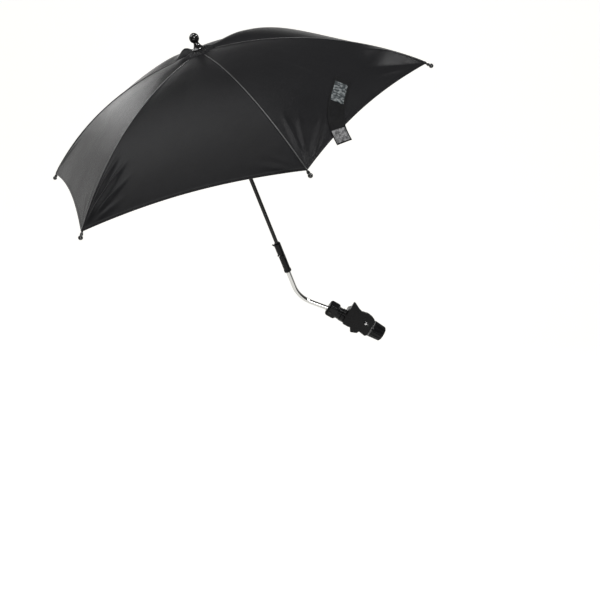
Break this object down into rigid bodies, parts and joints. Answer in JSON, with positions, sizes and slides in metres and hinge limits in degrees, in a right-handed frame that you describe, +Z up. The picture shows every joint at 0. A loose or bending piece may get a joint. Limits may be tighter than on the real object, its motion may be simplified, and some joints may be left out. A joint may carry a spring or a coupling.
{
  "type": "pram parasol",
  "caption": "Black folding parasol with curved ribs on a shaft with a tilt joint, a bent chrome arm and a screw clamp for a pram tube.",
  "frame": {"origin": "centre of the clamped tube, half way along the clamp pads", "axes": "Z up as in use, X to the right as seen from the front, Y away from the viewer; the clamped tube leans 30 degrees from Z towards +X"},
  "size_m": [0.7425, 0.7147, 0.6538],
  "materials": {
    "cloth": "black polyester with a soft sheen",
    "black_steel": "black lacquer",
    "gloss_black": "glossy black",
    "matt_black": "moulded black",
    "pad_rubber": "soft black",
    "chrome": "bright plated",
    "steel": "zinc plated"
  },
  "bodies": {
    "clamp": {"clamp_frame": "matt_black", "fixed_pad": "pad_rubber", "swivel_bolt": "steel"},
    "jaw": {"moving_jaw": "matt_black", "moving_pad": "pad_rubber", "guide_rivet": "steel"},
    "knob": {"clamp_knob": "matt_black", "clamp_screw": "steel", "screw_clip": "steel", "knob_cap": "matt_black"},
    "arm": {"arm_socket": "matt_black", "arm_tube": "chrome", "socket_screw": "black_steel", "swivel_nut": "steel", "tilt_base": "matt_black", "tilt_pin": "black_steel"},
    "pole": {"shaft": "black_steel", "tilt_head": "matt_black", "lever_pin": "black_steel", "crown": "matt_black", "crown_wire": "steel", "canopy_washer": "matt_black", "finial": "gloss_black"},
    "lever": {"tilt_lever": "matt_black"},
    "runner": {"runner": "matt_black"},
    "catch": {"runner_catch": "steel"},
    "rib_1": {"rib_1": "black_steel", "rib_tip_1": "gloss_black", "canopy_gore_1": "cloth"},
    "stretcher_1": {"stretcher_1": "black_steel", "stretcher_pin_1": "steel"},
    "rib_2": {"rib_2": "black_steel", "rib_tip_2": "gloss_black", "canopy_gore_2": "cloth"},
    "stretcher_2": {"stretcher_2": "black_steel", "stretcher_pin_2": "steel"},
    "rib_3": {"rib_3": "black_steel", "rib_tip_3": "gloss_black", "canopy_gore_3": "cloth"},
    "stretcher_3": {"stretcher_3": "black_steel", "stretcher_pin_3": "steel"},
    "rib_4": {"rib_4": "black_steel", "rib_tip_4": "gloss_black", "canopy_gore_4": "cloth"},
    "stretcher_4": {"stretcher_4": "black_steel", "stretcher_pin_4": "steel"},
    "rib_5": {"rib_5": "black_steel", "rib_tip_5": "gloss_black", "canopy_gore_5": "cloth"},
    "stretcher_5": {"stretcher_5": "black_steel", "stretcher_pin_5": "steel"},
    "rib_6": {"rib_6": "black_steel", "rib_tip_6": "gloss_black", "canopy_gore_6": "cloth", "tie_strap": "cloth"},
    "stretcher_6": {"stretcher_6": "black_steel", "stretcher_pin_6": "steel"}
  },
  "joints": [
    {"name": "jaw_slide", "type": "slide", "parent": "clamp", "child": "jaw", "axis": [0.866, 0, -0.5], "range_m": [-0.003, 0.006]},
    {"name": "knob_turn", "type": "hinge", "parent": "jaw", "child": "knob", "pos_m": [0, 0, 0], "axis": [0.866, 0, -0.5], "range_deg": [-545, 1085]},
    {"name": "arm_swivel", "type": "hinge", "parent": "clamp", "child": "arm", "pos_m": [-0.003, 0, -0.0052], "axis": [0.866, 0, -0.5], "range_deg": [-120, 120]},
    {"name": "pole_tilt", "type": "hinge", "parent": "arm", "child": "pole", "pos_m": [-0.16436, -0.02549, 0.1461], "axis": [0.2258, 0.8922, 0.3911], "range_deg": [-50, 50]},
    {"name": "lever_press", "type": "hinge", "parent": "pole", "child": "lever", "pos_m": [-0.17529, -0.02925, 0.16099], "axis": [0.2258, 0.8922, 0.3911], "range_deg": [0, 4], "stiffness_Nm_per_rad": 0.5},
    {"name": "runner_slide", "type": "slide", "parent": "pole", "child": "runner", "axis": [0.3211, 0.3109, -0.8946], "range_m": [0, 0.25591], "deforming": ["runner_catch"]},
    {"name": "catch_press", "type": "slide", "parent": "pole", "child": "catch", "axis": [-0.8655, -0.2872, -0.4105], "range_m": [0, 0.0022], "stiffness_N_per_m": 800},
    {"name": "rib_fold_1", "type": "hinge", "parent": "pole", "child": "rib_1", "pos_m": [-0.29825, -0.16628, 0.54801], "axis": [0.0997, 0.9282, 0.3584], "range_deg": [0, 65.2], "deforming": ["canopy_gore_1"]},
    {"name": "stretcher_fold_1", "type": "hinge", "parent": "rib_1", "child": "stretcher_1", "pos_m": [-0.1366, -0.1895, 0.56315], "axis": [0.0997, 0.9282, 0.3584], "range_deg": [-130.4, 0]},
    {"name": "rib_fold_2", "type": "hinge", "parent": "pole", "child": "rib_2", "pos_m": [-0.3021, -0.15722, 0.54977], "axis": [-0.7657, 0.6411, -0.0521], "range_deg": [0, 65.2], "deforming": ["canopy_gore_2"]},
    {"name": "stretcher_fold_2", "type": "hinge", "parent": "rib_2", "child": "stretcher_2", "pos_m": [-0.20236, -0.03455, 0.5934], "axis": [-0.7657, 0.6411, -0.0521], "range_deg": [-130.4, 0]},
    {"name": "rib_fold_3", "type": "hinge", "parent": "pole", "child": "rib_3", "pos_m": [-0.31152, -0.15518, 0.5471], "axis": [-0.8655, -0.2872, -0.4105], "range_deg": [0, 65.2], "deforming": ["canopy_gore_3"]},
    {"name": "stretcher_fold_3", "type": "hinge", "parent": "rib_3", "child": "stretcher_3", "pos_m": [-0.36343, 0.00039, 0.54772], "axis": [-0.8655, -0.2872, -0.4105], "range_deg": [-130.4, 0]},
    {"name": "rib_fold_4", "type": "hinge", "parent": "pole", "child": "rib_4", "pos_m": [-0.31709, -0.1622, 0.54266], "axis": [-0.0997, -0.9282, -0.3584], "range_deg": [0, 65.2], "deforming": ["canopy_gore_4"]},
    {"name": "stretcher_fold_4", "type": "hinge", "parent": "rib_4", "child": "stretcher_4", "pos_m": [-0.45874, -0.11962, 0.4718], "axis": [-0.0997, -0.9282, -0.3584], "range_deg": [-130.4, 0]},
    {"name": "rib_fold_5", "type": "hinge", "parent": "pole", "child": "rib_5", "pos_m": [-0.31324, -0.17126, 0.5409], "axis": [0.7657, -0.6411, 0.0521], "range_deg": [0, 65.2], "deforming": ["canopy_gore_5"]},
    {"name": "stretcher_fold_5", "type": "hinge", "parent": "rib_5", "child": "stretcher_5", "pos_m": [-0.39298, -0.27457, 0.44155], "axis": [0.7657, -0.6411, 0.0521], "range_deg": [-130.4, 0]},
    {"name": "rib_fold_6", "type": "hinge", "parent": "pole", "child": "rib_6", "pos_m": [-0.30383, -0.1733, 0.54357], "axis": [0.8655, 0.2872, 0.4105], "range_deg": [0, 65.2], "deforming": ["canopy_gore_6", "tie_strap"]},
    {"name": "stretcher_fold_6", "type": "hinge", "parent": "rib_6", "child": "stretcher_6", "pos_m": [-0.23191, -0.30951, 0.48723], "axis": [0.8655, 0.2872, 0.4105], "range_deg": [-130.4, 0]}
  ],
  "couplings": [
    {"joint": "knob_turn", "follows": "jaw_slide", "rad_per_m": 3141.6},
    {"joint": "rib_fold_1", "follows": "runner_slide", "rad_per_m": 4.433},
    {"joint": "stretcher_fold_1", "follows": "runner_slide", "rad_per_m": -8.866},
    {"joint": "rib_fold_2", "follows": "runner_slide", "rad_per_m": 4.433},
    {"joint": "stretcher_fold_2", "follows": "runner_slide", "rad_per_m": -8.866},
    {"joint": "rib_fold_3", "follows": "runner_slide", "rad_per_m": 4.433},
    {"joint": "stretcher_fold_3", "follows": "runner_slide", "rad_per_m": -8.866},
    {"joint": "rib_fold_4", "follows": "runner_slide", "rad_per_m": 4.433},
    {"joint": "stretcher_fold_4", "follows": "runner_slide", "rad_per_m": -8.866},
    {"joint": "rib_fold_5", "follows": "runner_slide", "rad_per_m": 4.433},
    {"joint": "stretcher_fold_5", "follows": "runner_slide", "rad_per_m": -8.866},
    {"joint": "rib_fold_6", "follows": "runner_slide", "rad_per_m": 4.433},
    {"joint": "stretcher_fold_6", "follows": "runner_slide", "rad_per_m": -8.866}
  ]
}
